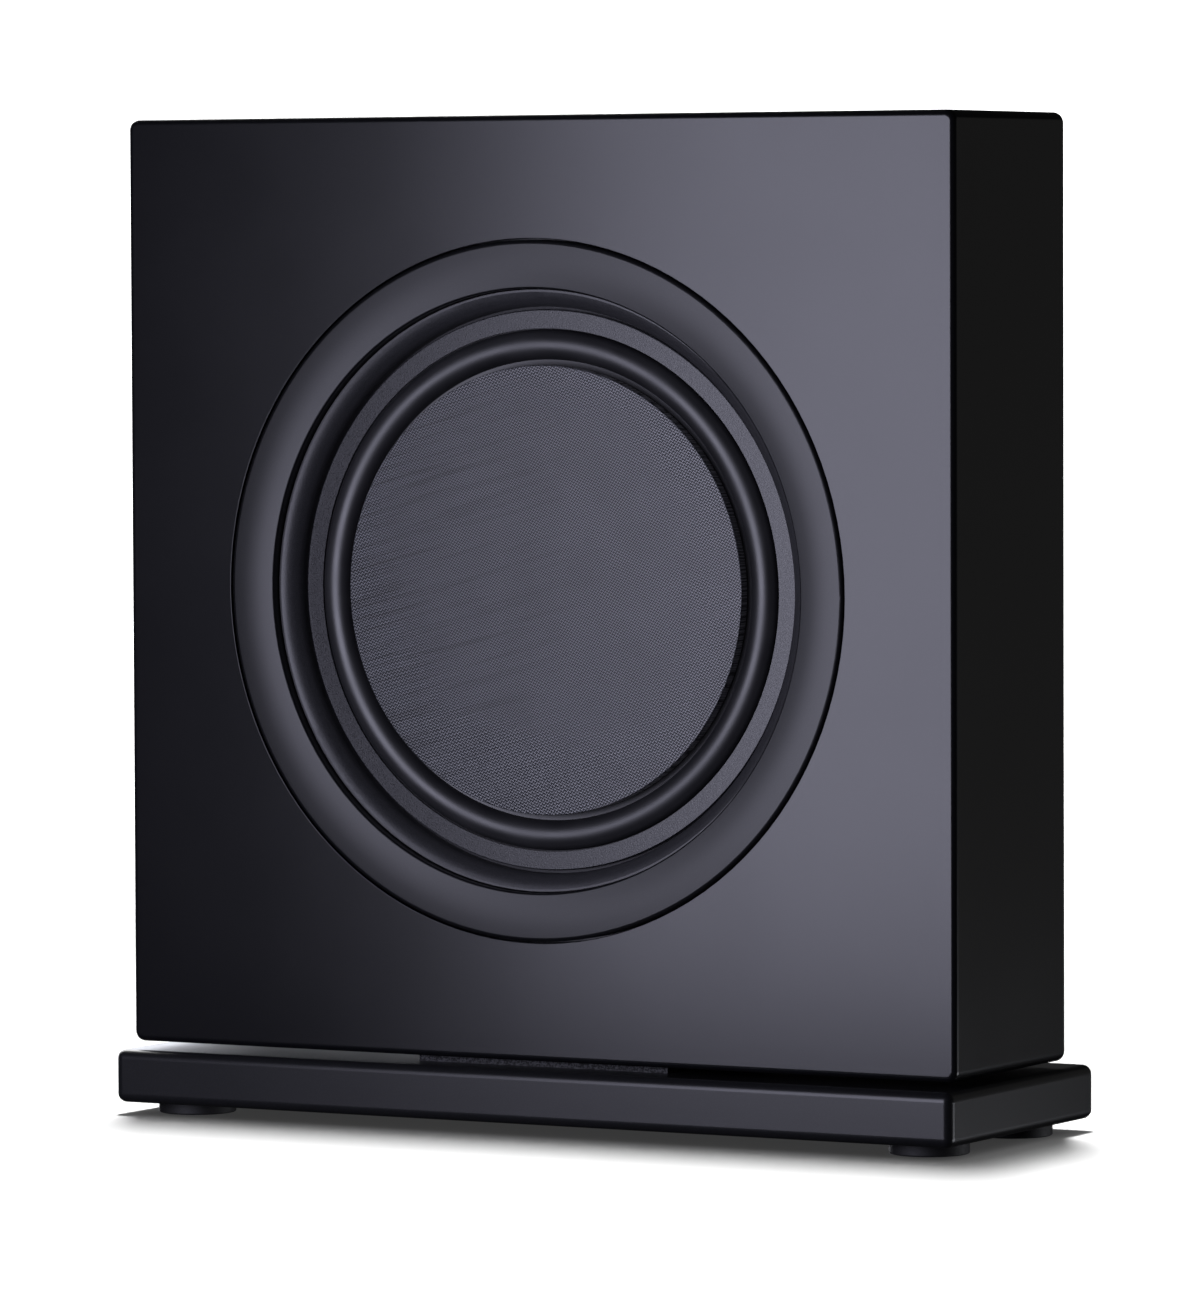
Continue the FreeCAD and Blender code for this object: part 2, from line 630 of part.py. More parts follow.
def motor_parts():
    """Voice coil, top plate, magnet and the yoke with its pole."""
    plate_back = TOP_PLATE_DEPTH + TOP_PLATE_T
    magnet_back = plate_back + MAGNET_T
    top_plate = washer(GAP_OUTER_R, PLATE_R, TOP_PLATE_DEPTH, plate_back).cut(motor_screws())
    yoke = lathe([
        (POLE_VENT_R, POLE_FRONT_DEPTH), (POLE_R, POLE_FRONT_DEPTH), (POLE_R, magnet_back),
        (PLATE_R, magnet_back), (PLATE_R, magnet_back + YOKE_T), (POLE_VENT_R, magnet_back + YOKE_T),
    ])
    former_r = FORMER_INNER_R + FORMER_WALL
    return {
        "top_plate": top_plate,
        "magnet_ring": washer(MAGNET_BORE_R, MAGNET_R, plate_back, magnet_back),
        "pole_yoke": yoke,
        "voice_coil_former": washer(FORMER_INNER_R, former_r, FORMER_FRONT, FORMER_BACK),
        "voice_coil": washer(former_r, COIL_R, COIL_FRONT, COIL_BACK),
    }


def driver_terminals():
    """Terminal block on the basket's waist."""
    block = box(-BASKET_WAIST_R - TERMINAL_LENGTH, -BASKET_WAIST_R + TERMINAL_ROOT,
                FRONT_Y + TERMINAL_FRONT_DEPTH, FRONT_Y + TERMINAL_BACK_DEPTH,
                DRIVER_Z - TERMINAL_HEIGHT / 2, DRIVER_Z + TERMINAL_HEIGHT / 2)
    return block.cut(washer(0, BASKET_WAIST_R, BASKET_WINDOW_START, TOP_PLATE_DEPTH)).cut(driver_frame())


def bent_wire(points, radius):
    """Round wire along straight legs with round joints."""
    wire = None
    for start, end in zip(points, points[1:]):
        leg = rod(radius, start, end)
        knee = Part.makeSphere(radius, end)
        wire = leg.fuse(knee) if wire is None else wire.fuse([leg, knee])
    return wire.removeSplitter()


def tinsel_leads():
    """Flexible braid from the terminal block to the voice coil former."""
    y = FRONT_Y + LEAD_DEPTH
    block_face = FRONT_Y + TERMINAL_FRONT_DEPTH
    leads = []
    for side in (-LEAD_SPREAD, LEAD_SPREAD):
        z = DRIVER_Z + side
        x = -BASKET_WAIST_R - LEAD_SPREAD
        reach = math.sqrt((FORMER_INNER_R + FORMER_WALL + COUPLER_T + LEAD_R) ** 2 - side ** 2)
        route = [V(x, block_face, z), V(x, y + LEAD_R, z),
                 V(-reach - LEAD_SPREAD, y - LEAD_R, z), V(-reach - LEAD_R, y - LEAD_R / 2, z)]
        leads.append(bent_wire(route, LEAD_R))
    return Part.makeCompound(leads)


def speaker_cable():
    """Two wires from the amplifier to the driver's terminals."""
    y = FRONT_Y + CABLE_START_DEPTH
    wires = []
    for side in (-CABLE_HALF_PITCH, CABLE_HALF_PITCH):
        start = V(CABLE_X + side, y, DRIVER_Z - TERMINAL_HEIGHT / 2)
        turn = V(CABLE_X + side, y, COVER_TOP + CABLE_BEND_RISE)
        down = V(CABLE_X + side, CABLE_ENTRY_Y, COVER_TOP + CABLE_ENTRY_RISE)
        inside = V(CABLE_X + side, CABLE_ENTRY_Y, COVER_TOP - CABLE_TAIL)
        wires.append(bent_wire([start, turn, down, inside], CABLE_R))
    return Part.makeCompound(wires)


# ---- rear amplifier ------------------------------------------------------------------------
def plate_screw_spots():
    """Screw positions (x, z) round the amplifier plate."""
    spots = []
    reach = PLATE_HALF_W - PLATE_SCREW_INSET
    for i in range(PLATE_SCREW_COLUMNS):
        x = -reach + 2 * reach * i / (PLATE_SCREW_COLUMNS - 1)
        spots += [(x, PLATE_BOTTOM + PLATE_SCREW_INSET), (x, PLATE_TOP - PLATE_SCREW_INSET)]
    middle = (PLATE_BOTTOM + PLATE_TOP) / 2
    return spots + [(-reach, middle), (reach, middle)]


def knob_spots():
    """Centres (x, z) of the level and crossover controls."""
    return {"level": (CONTROL_X - KNOB_SPACING / 2, KNOB_ROW_Z),
            "crossover": (CONTROL_X + KNOB_SPACING / 2, KNOB_ROW_Z)}


def jack_spots():
    """Centres (x, z) of the two line inputs."""
    return [(CONTROL_X - JACK_SPACING / 2, JACK_ROW_Z), (CONTROL_X + JACK_SPACING / 2, JACK_ROW_Z)]


def switch_body(x, z, half_w, radius, front_y, back_y, grow=0.0):
    """Rectangular body of a rocker switch, between two planes."""
    width = half_w + ROCKER_CLEARANCE + SWITCH_WALL + grow
    height = radius + ROCKER_CLEARANCE + SWITCH_WALL + grow
    return box(x - width, x + width, front_y, back_y, z - height, z + height)


def plate_openings():
    """Everything that passes through the amplifier plate, as cutters."""
    y0, y1 = BACK_Y, PLATE_BACK_Y + CUT_OVERRUN
    cutters = [rod(BUSH_R + HOLE_PLAY, V(x, y0, z), V(x, y1, z)) for x, z in knob_spots().values()]
    cutters += [rod(JACK_R + HOLE_PLAY, V(x, y0, z), V(x, y1, z)) for x, z in jack_spots()]
    cutters.append(switch_body(INLET_X, POWER_Z, POWER_ROCKER_HALF_W, POWER_ROCKER_R, y0, y1))
    cutters.append(switch_body(CONTROL_X, PHASE_Z, PHASE_ROCKER_HALF_W, PHASE_ROCKER_R, y0, y1))
    cutters.append(box(INLET_X - INLET_HALF_W, INLET_X + INLET_HALF_W, y0, y1,
                       INLET_Z - INLET_HALF_H, INLET_Z + INLET_HALF_H))
    return cutters


def amplifier_plate():
    """Rear mounting plate of the amplifier."""
    plate = box(-PLATE_HALF_W, PLATE_HALF_W, BACK_Y + PLATE_SEAL_T, PLATE_BACK_Y, PLATE_BOTTOM, PLATE_TOP)
    plate = soften(plate, PLATE_CORNER_R, along_y)
    for cutter in plate_openings():
        plate = plate.cut(cutter)
    for x, z in plate_screw_spots():
        hole_end = V(x, PLATE_BACK_Y + CUT_OVERRUN, z)
        plate = plate.cut(rod(SMALL_SCREW_R + SCREW_PLAY, V(x, BACK_Y, z), hole_end))
    return plate


def plate_seal():
    """Foam seal between the amplifier plate and the rear board."""
    outer = box(-PLATE_HALF_W, PLATE_HALF_W, BACK_Y, BACK_Y + PLATE_SEAL_T, PLATE_BOTTOM, PLATE_TOP)
    outer = soften(outer, PLATE_CORNER_R, along_y)
    half = PLATE_HALF_W - OPENING_MARGIN
    seal = outer.cut(box(-half, half, BACK_Y, BACK_Y + PLATE_SEAL_T,
                         PLATE_BOTTOM + OPENING_MARGIN, PLATE_TOP - OPENING_MARGIN))
    for x, z in plate_screw_spots():
        seal = seal.cut(rod(SMALL_SCREW_R + SCREW_PLAY, V(x, BACK_Y, z), V(x, BACK_Y + PLATE_SEAL_T, z)))
    return seal


def plate_screws():
    """Screws that hold the amplifier in the rear board."""
    screws = []
    for x, z in plate_screw_spots():
        screws.append(screw_along_y(x, z, PLATE_BACK_Y, 1, PLATE_SCREW_LENGTH))
    return Part.makeCompound(screws)


def heatsink():
    """Finned aluminium heatsink on the outside of the plate."""
    middle = (PLATE_BOTTOM + PLATE_TOP) / 2
    half_w = (FIN_COUNT - 1) * FIN_PITCH / 2 + FIN_T / 2
    z0, z1 = middle - FIN_HEIGHT / 2, middle + FIN_HEIGHT / 2
    y0 = PLATE_BACK_Y
    sink = box(FIN_CENTRE_X - half_w, FIN_CENTRE_X + half_w, y0, y0 + FIN_BASE_T, z0, z1)
    fins = []
    for i in range(FIN_COUNT):
        x = FIN_CENTRE_X - half_w + i * FIN_PITCH
        fins.append(box(x, x + FIN_T, y0, y0 + FIN_REACH, z0, z1))
    return sink.fuse(fins).removeSplitter()


def amplifier_cover():
    """Sheet-metal tub that closes the amplifier off from the box."""
    tub = box(-COVER_HALF_W, COVER_HALF_W, COVER_FRONT_Y, BACK_Y + PLATE_SEAL_T, COVER_BOTTOM, COVER_TOP)
    hollow = box(-COVER_HALF_W + COVER_T, COVER_HALF_W - COVER_T, COVER_FRONT_Y + COVER_T,
                 BACK_Y + PLATE_SEAL_T, COVER_BOTTOM + COVER_T, COVER_TOP - COVER_T)
    tub = tub.cut(hollow)
    for x in (CABLE_X - CABLE_HALF_PITCH, CABLE_X + CABLE_HALF_PITCH):
        start = V(x, CABLE_ENTRY_Y, COVER_TOP - COVER_T - CUT_OVERRUN)
        end = V(x, CABLE_ENTRY_Y, COVER_TOP + CUT_OVERRUN)
        tub = tub.cut(rod(CABLE_R + HOLE_PLAY, start, end))
    return tub


def amplifier_electronics():
    """Circuit board on posts, with the transformer and reservoir capacitors."""
    x0, x1 = -COVER_HALF_W + BOARD_MARGIN, COVER_HALF_W - BOARD_MARGIN
    z0, z1 = COVER_BOTTOM + BOARD_MARGIN, COVER_TOP - BOARD_MARGIN
    board = box(x0, x1, BOARD_Y, BOARD_Y + BOARD_T, z0, z1)
    posts = []
    for x in (x0 + BOARD_MARGIN, x1 - BOARD_MARGIN):
        for z in (z0 + BOARD_MARGIN, z1 - BOARD_MARGIN):
            posts.append(rod(BOARD_POST_R, V(x, COVER_FRONT_Y + COVER_T, z), V(x, BOARD_Y, z)))
    face = BOARD_Y + BOARD_T
    x, z = TRANSFORMER_X, z0 + TRANSFORMER_RISE
    core = box(x - CORE_HALF_W, x + CORE_HALF_W, face + CORE_STANDOFF, face + CORE_STANDOFF + CORE_T,
               z - CORE_HALF_H, z + CORE_HALF_H)
    winding = box(x - WINDING_HALF_W, x + WINDING_HALF_W, face, face + WINDING_T,
                  z - WINDING_HALF_H, z + WINDING_HALF_H)
    transformer = core.fuse(winding).removeSplitter()
    cans = []
    for x in (CAPACITOR_X - CAPACITOR_PITCH / 2, CAPACITOR_X + CAPACITOR_PITCH / 2):
        z = z0 + CAPACITOR_RISE
        can = rod(CAPACITOR_R, V(x, face, z), V(x, face + CAPACITOR_LENGTH, z))
        cans.append(can.makeFillet(CAPACITOR_ROUND, can.Edges))
    return {
        "circuit_board": board,
        "board_posts": Part.makeCompound(posts),
        "mains_transformer": transformer,
        "reservoir_capacitors": Part.makeCompound(cans),
    }


def control_pot(x, z):
    """Potentiometer body with its bush, bored for the shaft."""
    front = BACK_Y + PLATE_SEAL_T
    body = box(x - POT_SIZE / 2, x + POT_SIZE / 2, front - POT_DEPTH, front,
               z - POT_SIZE / 2, z + POT_SIZE / 2)
    bush = rod(BUSH_R, V(x, front, z), V(x, PLATE_BACK_Y, z))
    bore = rod(SHAFT_R + SHAFT_FIT, V(x, front - POT_DEPTH + POT_END_WALL, z), V(x, PLATE_BACK_Y, z))
    return body.fuse(bush).removeSplitter().cut(bore)


def control_shaft(x, z):
    """Turning shaft between pot and knob."""
    inner = BACK_Y + PLATE_SEAL_T - POT_DEPTH + POT_END_WALL + SHAFT_END_GAP
    return rod(SHAFT_R, V(x, inner, z), V(x, PLATE_BACK_Y + KNOB_LENGTH - KNOB_CAP_T, z))


def control_knob(x, z):
    """Fluted knob with a pointer groove, bored for its shaft."""
    y0 = PLATE_BACK_Y + KNOB_GAP
    y1 = PLATE_BACK_Y + KNOB_LENGTH
    knob = rod(KNOB_R, V(x, y0, z), V(x, y1, z))
    knob = soften(knob, KNOB_SOFTENING, lambda edge: edge.BoundBox.YMin > y1 - EDGE_MATCH)
    for i in range(KNOB_FLUTES):
        angle = 2 * math.pi * (i + 0.5) / KNOB_FLUTES
        reach = KNOB_R + KNOB_FLUTE_OFFSET
        fx, fz = x + reach * math.cos(angle), z + reach * math.sin(angle)
        knob = knob.cut(rod(KNOB_FLUTE_R, V(fx, y0 + KNOB_SKIRT, fz), V(fx, y1, fz)))
    pointer = box(x - POINTER_WIDTH / 2, x + POINTER_WIDTH / 2, y1 - POINTER_DEPTH, y1,
                  z + POINTER_START_R, z + KNOB_R)
    return knob.cut(pointer).cut(rod(SHAFT_R, V(x, y0, z), V(x, y1 - KNOB_CAP_T, z)))


def rocker_pivot_y():
    """Height of a rocker's pivot behind the plate's outer face."""
    return PLATE_BACK_Y - ROCKER_CLEARANCE


def rocker(x, z, half_w, radius):
    """Rocker with two faces in a shallow V, lying on its lower side."""
    y = rocker_pivot_y()
    rise = radius * math.tan(math.radians(ROCKER_ANGLE))
    corners = [V(x - half_w, y - ROCKER_FLOOR, z - radius), V(x - half_w, y - ROCKER_FLOOR, z + radius),
               V(x - half_w, y + ROCKER_VALLEY + rise, z + radius), V(x - half_w, y + ROCKER_VALLEY, z),
               V(x - half_w, y + ROCKER_VALLEY + rise, z - radius)]
    prism = Part.Face(Part.makePolygon(corners + corners[:1])).extrude(V(2 * half_w, 0, 0))
    body = prism.common(rod(radius, V(x - half_w, y, z), V(x + half_w, y, z)))
    body.rotate(V(x, y, z), V(1, 0, 0), -ROCKER_ANGLE)
    return body


def switch_housing(x, z, half_w, radius):
    """Switch body with its rim, hollowed round the rocker."""
    rim = switch_body(x, z, half_w, radius, PLATE_BACK_Y, PLATE_BACK_Y + SWITCH_BEZEL, SWITCH_RIM)
    body = switch_body(x, z, half_w, radius, PLATE_BACK_Y - SWITCH_BODY_DEPTH, PLATE_BACK_Y)
    y = rocker_pivot_y()
    side = half_w + ROCKER_CLEARANCE
    reach = radius + ROCKER_CLEARANCE
    well = rod(reach, V(x - side, y, z), V(x + side, y, z))
    mouth = box(x - side, x + side, y, PLATE_BACK_Y + SWITCH_BEZEL, z - reach, z + reach)
    return rim.fuse(body).removeSplitter().cut(well).cut(mouth)


def line_jacks():
    """Metal barrels of the two line inputs."""
    jacks = []
    for x, z in jack_spots():
        barrel = rod(JACK_R, V(x, PLATE_BACK_Y - JACK_TAIL, z), V(x, PLATE_BACK_Y + JACK_REACH, z))
        bore = rod(JACK_BORE_R, V(x, PLATE_BACK_Y, z), V(x, PLATE_BACK_Y + JACK_REACH, z))
        jacks.append(barrel.cut(bore))
    return Part.makeCompound(jacks)


def jack_collars():
    """Plastic collars round the line inputs."""
    collars = []
    for x, z in jack_spots():
        start, end = V(x, PLATE_BACK_Y, z), V(x, PLATE_BACK_Y + JACK_RING_T, z)
        collars.append(rod(JACK_RING_R, start, end).cut(rod(JACK_R, start, end)))
    return Part.makeCompound(collars)


def mains_inlet():
    """Three-pole mains inlet with its keyed recess."""
    back = PLATE_BACK_Y - INLET_RECESS
    flange = box(INLET_X - INLET_HALF_W - INLET_FLANGE_RIM, INLET_X + INLET_HALF_W + INLET_FLANGE_RIM,
                 PLATE_BACK_Y, PLATE_BACK_Y + INLET_FLANGE_T,
                 INLET_Z - INLET_HALF_H - INLET_FLANGE_RIM, INLET_Z + INLET_HALF_H + INLET_FLANGE_RIM)
    body = box(INLET_X - INLET_HALF_W, INLET_X + INLET_HALF_W, back, PLATE_BACK_Y,
               INLET_Z - INLET_HALF_H, INLET_Z + INLET_HALF_H)
    recess = box(INLET_X - INLET_HALF_W + INLET_WALL, INLET_X + INLET_HALF_W - INLET_WALL,
                 back + INLET_BACK_T, PLATE_BACK_Y + INLET_FLANGE_T,
                 INLET_Z - INLET_HALF_H + INLET_WALL, INLET_Z + INLET_HALF_H - INLET_WALL)
    keyed = [edge for edge in recess.Edges if along_y(edge) and edge.BoundBox.ZMin > INLET_Z]
    recess = recess.makeChamfer(INLET_KEY_CHAMFER, keyed)
    return flange.fuse(body).removeSplitter().cut(recess).cut(inlet_pins())


def inlet_pins():
    """Three flat pins, the middle one set higher."""
    back = PLATE_BACK_Y - INLET_RECESS
    tip = PLATE_BACK_Y + INLET_FLANGE_T - PIN_TIP_RECESS
    pins = []
    for step, lift in ((-1, 0), (0, PIN_HEIGHT / 2), (1, 0)):
        x = INLET_X + step * PIN_PITCH
        z = INLET_Z - PIN_HEIGHT / 4 + lift
        pins.append(box(x - PIN_THICKNESS / 2, x + PIN_THICKNESS / 2, back - PIN_TAIL, tip,
                        z - PIN_HEIGHT / 2, z + PIN_HEIGHT / 2))
    return Part.makeCompound(pins)


# ---- base ----------------------------------------------------------------------------------
def bolt_spots():
    """Positions (x, y) of the bolts that hold the cabinet to the plinth."""
    middle = (FRONT_Y + BAFFLE_T + BACK_Y) / 2
    return [(x, middle + y) for x in (-BOLT_X, BOLT_X) for y in (-BOLT_Y / 2, BOLT_Y / 2)]


def foot_spots():
    """Positions (x, y) of the four feet by name."""
    x = PLINTH_WIDTH / 2 - FOOT_SIDE_INSET
    y = PLINTH_DEPTH / 2 - FOOT_END_INSET
    return {"foot_front_left": (-x, -y), "foot_front_right": (x, -y),
            "foot_rear_left": (-x, y), "foot_rear_right": (x, y)}


def plinth_bolts():
    """Cap bolts from under the plinth into the cabinet's inserts."""
    bolts = []
    head_z = FOOT_HEIGHT + BOLT_SINK
    for x, y in bolt_spots():
        head = rod(BOLT_HEAD_R, V(x, y, head_z), V(x, y, head_z + BOLT_HEAD_T))
        shank = rod(BOLT_R, V(x, y, head_z), V(x, y, CABINET_BOTTOM + BOLT_REACH))
        drive = rod(BOLT_DRIVE_R, V(x, y, head_z), V(x, y, head_z + BOLT_DRIVE_DEPTH))
        bolts.append(head.fuse(shank).cut(drive))
    return Part.makeCompound(bolts)


def threaded_inserts():
    """Metal inserts in the bottom board."""
    inserts = []
    for x, y in bolt_spots():
        low, high = V(x, y, CABINET_BOTTOM), V(x, y, CABINET_BOTTOM + INSERT_T)
        inserts.append(rod(INSERT_R, low, high).cut(rod(BOLT_R, low, high)))
    return Part.makeCompound(inserts)


def plinth():
    """Base board, rounded on every edge, drilled for bolts and foot screws."""
    board = box(-PLINTH_WIDTH / 2, PLINTH_WIDTH / 2, -PLINTH_DEPTH / 2, PLINTH_DEPTH / 2,
                FOOT_HEIGHT, PLINTH_TOP)
    board = board.makeFillet(PLINTH_EDGE_R, board.Edges)
    for x, y in bolt_spots():
        seat = FOOT_HEIGHT + BOLT_SINK + BOLT_HEAD_T
        board = board.cut(rod(BOLT_HEAD_R + BOLT_WELL_PLAY, V(x, y, FOOT_HEIGHT), V(x, y, seat)))
        board = board.cut(rod(BOLT_R + SCREW_PLAY, V(x, y, FOOT_HEIGHT), V(x, y, PLINTH_TOP)))
    return board.cut(foot_screws())


def spacer_plate():
    """Narrow plate that holds the cabinet just clear of the plinth."""
    plate = box(-SPACER_WIDTH / 2, SPACER_WIDTH / 2, FRONT_Y + SPACER_SETBACK, BACK_Y - SPACER_SETBACK,
                PLINTH_TOP, CABINET_BOTTOM)
    for x, y in bolt_spots():
        plate = plate.cut(rod(BOLT_R + SCREW_PLAY, V(x, y, PLINTH_TOP), V(x, y, CABINET_BOTTOM)))
    return plate


def foot(x, y):
    """Round rubber foot with a well for its screw."""
    pad = rod(FOOT_R, V(x, y, 0), V(x, y, FOOT_HEIGHT))
    pad = soften(pad, FOOT_SOFTENING, lambda edge: edge.BoundBox.ZMax < FOOT_HEIGHT / 2)
    pad = pad.cut(rod(FOOT_WELL_R, V(x, y, 0), V(x, y, FOOT_WELL_DEPTH)))
    return pad.cut(rod(SMALL_SCREW_R, V(x, y, 0), V(x, y, FOOT_HEIGHT)))


def foot_screws():
    """Screws through the feet into the plinth."""
    screws = []
    for x, y in foot_spots().values():
        low = FOOT_WELL_DEPTH - SMALL_HEAD_T
        head = rod(FOOT_SCREW_HEAD_R, V(x, y, FOOT_WELL_DEPTH), V(x, y, low))
        shank = rod(SMALL_SCREW_R, V(x, y, FOOT_WELL_DEPTH), V(x, y, FOOT_HEIGHT + FOOT_SCREW_REACH))
        drive = rod(DRIVE_R, V(x, y, low), V(x, y, low + DRIVE_DEPTH))
        screws.append(head.fuse(shank).cut(drive))
    return Part.makeCompound(screws)


# ---- assembly ------------------------------------------------------------------------------
def build():
    """Every piece by name."""
    block = cabinet_block()
    pieces = {"front_baffle": front_baffle(block), "rear_panel": rear_panel()}
    pieces.update(wall_panels(block))
    pieces["cabinet_braces"] = cabinet_braces()
    pieces["damping_wadding"] = damping_wadding()
    pieces["trim_ring"] = trim_ring()
    pieces["bezel_ring"] = bezel_ring()
    pieces["clamp_ring"] = clamp_ring()
    pieces["surround"] = surround()
    pieces.update(cone_parts())
    pieces["driver_frame"] = driver_frame()
    pieces["frame_gasket"] = frame_gasket()
    pieces["driver_screws"] = driver_screws()
    pieces["motor_screws"] = motor_screws()
    pieces["spider"] = spider()
    pieces.update(motor_parts())
    pieces["driver_terminals"] = driver_terminals()
    pieces["tinsel_leads"] = tinsel_leads()
    pieces["speaker_cable"] = speaker_cable()
    pieces["amplifier_plate"] = amplifier_plate()
    pieces["plate_seal"] = plate_seal()
    pieces["plate_screws"] = plate_screws()
    pieces["heatsink"] = heatsink()
    pieces["amplifier_cover"] = amplifier_cover()
    pieces.update(amplifier_electronics())
    for name, (x, z) in knob_spots().items():
        pieces[name + "_pot"] = control_pot(x, z)
        pieces[name + "_shaft"] = control_shaft(x, z)
        pieces[name + "_knob"] = control_knob(x, z)
    power = (INLET_X, POWER_Z, POWER_ROCKER_HALF_W, POWER_ROCKER_R)
    phase = (CONTROL_X, PHASE_Z, PHASE_ROCKER_HALF_W, PHASE_ROCKER_R)
    for name, switch in (("power", power), ("phase", phase)):
        pieces[name + "_switch_housing"] = switch_housing(*switch)
        pieces[name + "_rocker"] = rocker(*switch)
    pieces["line_jacks"] = line_jacks()
    pieces["jack_collars"] = jack_collars()
    pieces["mains_inlet"] = mains_inlet()
    pieces["inlet_pins"] = inlet_pins()
    pieces["plinth"] = plinth()
    pieces["spacer_plate"] = spacer_plate()
    pieces["plinth_bolts"] = plinth_bolts()
    pieces["threaded_inserts"] = threaded_inserts()
    for name, (x, y) in foot_spots().items():
        pieces[name] = foot(x, y)
    pieces["foot_screws"] = foot_screws()
    return pieces


os.makedirs("parts", exist_ok=True)
for name, shape in build().items():
    shape.exportStep("parts/" + name + ".step")
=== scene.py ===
"""Looks of a slim powered subwoofer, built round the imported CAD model. Metres, +Z up, the front faces -Y."""

import json
import math

import bpy
from mathutils import Matrix, Vector


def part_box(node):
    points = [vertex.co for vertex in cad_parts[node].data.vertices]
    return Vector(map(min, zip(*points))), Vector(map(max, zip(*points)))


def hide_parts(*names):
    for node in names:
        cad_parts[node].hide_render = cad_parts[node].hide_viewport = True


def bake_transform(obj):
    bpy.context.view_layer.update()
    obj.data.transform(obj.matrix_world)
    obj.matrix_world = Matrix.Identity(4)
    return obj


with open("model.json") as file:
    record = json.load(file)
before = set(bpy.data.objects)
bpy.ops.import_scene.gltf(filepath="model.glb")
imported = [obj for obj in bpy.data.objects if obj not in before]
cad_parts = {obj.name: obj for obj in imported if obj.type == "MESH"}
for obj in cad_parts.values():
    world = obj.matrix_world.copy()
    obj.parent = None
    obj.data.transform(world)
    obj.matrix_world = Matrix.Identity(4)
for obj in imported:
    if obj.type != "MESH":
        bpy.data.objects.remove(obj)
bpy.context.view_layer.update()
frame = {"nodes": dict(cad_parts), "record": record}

MM = 0.001
WHITE = (1.0, 1.0, 1.0)

# ---- places read from the frame ------------------------------------------------------------
FACE_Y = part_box("front_baffle")[0].y
CABINET_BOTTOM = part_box("front_baffle")[0].z
DRIVER_Z = (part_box("cone_skin")[0].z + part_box("cone_skin")[1].z) / 2


# ---- shader helpers ------------------------------------------------------------------------
class Shader:
    """One material and short ways to add and join its nodes."""

    def __init__(self, name):
        self.material = bpy.data.materials.new(name + "_finish")
        self.material.use_nodes = True
        self.tree = self.material.node_tree
        self.surface = self.tree.nodes["Principled BSDF"]
        coordinates = self.tree.nodes.new("ShaderNodeTexCoord")
        self.place = coordinates.outputs["Object"]

    def node(self, kind, **settings):
        made = self.tree.nodes.new(kind)
        for key, value in settings.items():
            setattr(made, key, value)
        return made

    def join(self, source, target):
        self.tree.links.new(source, target)

    def feed(self, socket, value):
        """Put a number, a vector or another socket into a socket."""
        if isinstance(value, bpy.types.NodeSocket):
            self.join(value, socket)
        else:
            socket.default_value = value

    def math(self, operation, a, b=0.0, c=0.0):
        made = self.node("ShaderNodeMath", operation=operation)
        for socket, value in zip(made.inputs, (a, b, c)):
            self.feed(socket, value)
        return made.outputs[0]

    def noise(self, scale, detail=3.0, roughness=0.5, place=None):
        made = self.node("ShaderNodeTexNoise")
        self.join(place or self.place, made.inputs["Vector"])
        made.inputs["Scale"].default_value = scale
        made.inputs["Detail"].default_value = detail
        made.inputs["Roughness"].default_value = roughness
        return made.outputs["Fac"]

    def cells(self, scale):
        made = self.node("ShaderNodeTexVoronoi")
        self.join(self.place, made.inputs["Vector"])
        made.inputs["Scale"].default_value = scale
        return made.outputs["Distance"]

    def spread(self, value, low, high, start=0.3, end=0.7):
        """Map a noise value onto a range of numbers."""
        made = self.node("ShaderNodeMapRange", clamp=True)
        self.feed(made.inputs["Value"], value)
        for name, number in (("From Min", start), ("From Max", end), ("To Min", low), ("To Max", high)):
            self.feed(made.inputs[name], number)
        return made.outputs["Result"]

    def blend(self, factor, first, second):
        """Mix two colours by a factor."""
        made = self.node("ShaderNodeMix", data_type="RGBA")
        self.feed(made.inputs[0], factor)
        self.feed(made.inputs[6], first)
        self.feed(made.inputs[7], second)
        return made.outputs[2]

    def bump(self, height, strength, depth, under=None):
        """Add a bump layer, on top of an earlier one when given."""
        made = self.node("ShaderNodeBump")
        self.join(height, made.inputs["Height"])
        made.inputs["Strength"].default_value = strength
        made.inputs["Distance"].default_value = depth
        if under is not None:
            self.join(under, made.inputs["Normal"])
        self.join(made.outputs["Normal"], self.surface.inputs["Normal"])
        return made.outputs["Normal"]

    def set(self, **values):
        for name, value in values.items():
            self.feed(self.surface.inputs[name.replace("_", " ")], value)


def rgba(colour, share=1.0):
    return (colour[0] * share, colour[1] * share, colour[2] * share, 1.0)


def worn_surface(name, colour, roughness, grain=900.0, relief=0.02, tone=0.12, drift=0.05, metallic=0.0):
    """Everyday finish: cloudy tone, drifting roughness and a fine grain in relief."""
    shader = Shader(name)
    cloud = shader.noise(14.0, 4.0)
    fine = shader.noise(grain, 2.0)
    darker, lighter = rgba(colour, 1 - tone), rgba(colour, 1 + tone)
    shader.set(
        Base_Color=shader.blend(shader.spread(cloud, 0.0, 1.0), darker, lighter),
        Roughness=shader.spread(fine, roughness - drift, roughness + drift),
        Metallic=metallic,
    )
    shader.bump(fine, 0.5, relief * MM)
    return shader


